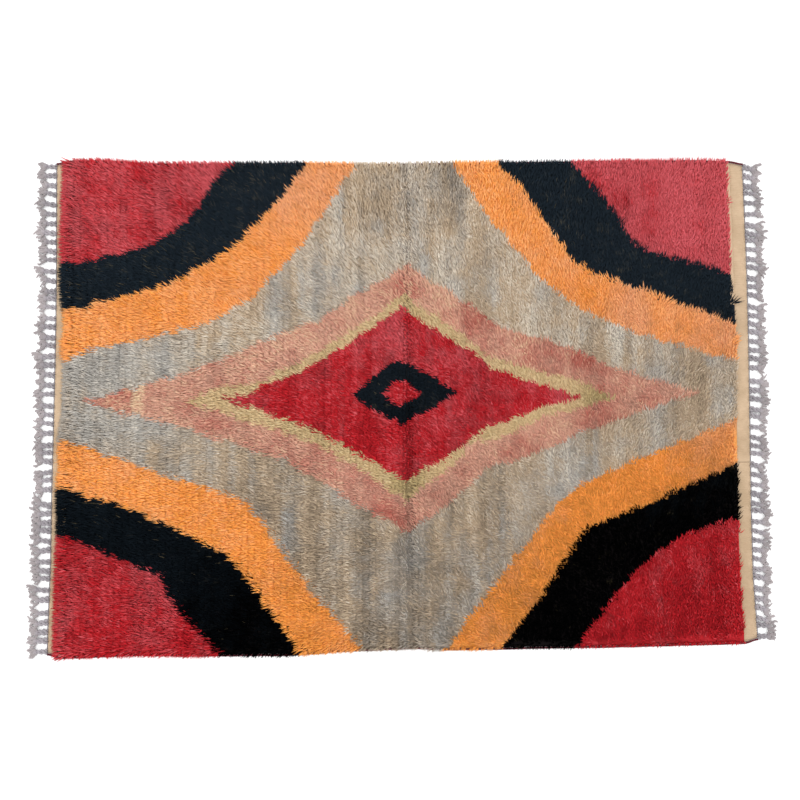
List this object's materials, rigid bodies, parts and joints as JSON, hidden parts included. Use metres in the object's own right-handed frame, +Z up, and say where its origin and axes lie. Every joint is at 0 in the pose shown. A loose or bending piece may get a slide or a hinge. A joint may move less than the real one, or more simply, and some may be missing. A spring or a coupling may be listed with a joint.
{
  "type": "berber rug",
  "caption": "Rectangular hand-knotted wool rug lying flat, with deep pile, plain woven end bands, wrapped selvedges and a knotted fringe at each end.",
  "frame": {"origin": "on the floor under the middle of the rug, on the pile field's flat underside", "axes": "+X along the rug's length towards its right-hand fringe, +Y across the rug towards its back edge, +Z up out of the pile"},
  "size_m": [2.6606, 1.7761, 0.0286],
  "materials": {
    "wool_red": "deep red dyed wool pile, matt",
    "wool_black": "black dyed wool pile, matt",
    "wool_orange": "orange dyed wool pile, matt",
    "wool_grey": "undyed grey wool pile, matt, uneven from row to row",
    "wool_pink": "faded pink dyed wool pile, matt",
    "wool_mustard": "pale mustard dyed wool pile, matt",
    "wool_ground": "plain woven wool ground, matt",
    "wool_band": "undyed wool, plain weave, matt",
    "warp_fringe": "undyed grey-brown warp yarn, twisted and knotted, fuzzy tails",
    "wool_selvedge": "maroon wool, wrapped over warp cords, matt"
  },
  "bodies": {
    "root": {"pile_field": "wool_red", "end_band_left": "wool_band", "end_band_right": "wool_band", "fringe_left": "warp_fringe", "fringe_right": "warp_fringe", "selvedge_front": "wool_selvedge", "selvedge_back": "wool_selvedge"}
  },
  "joints": []
}
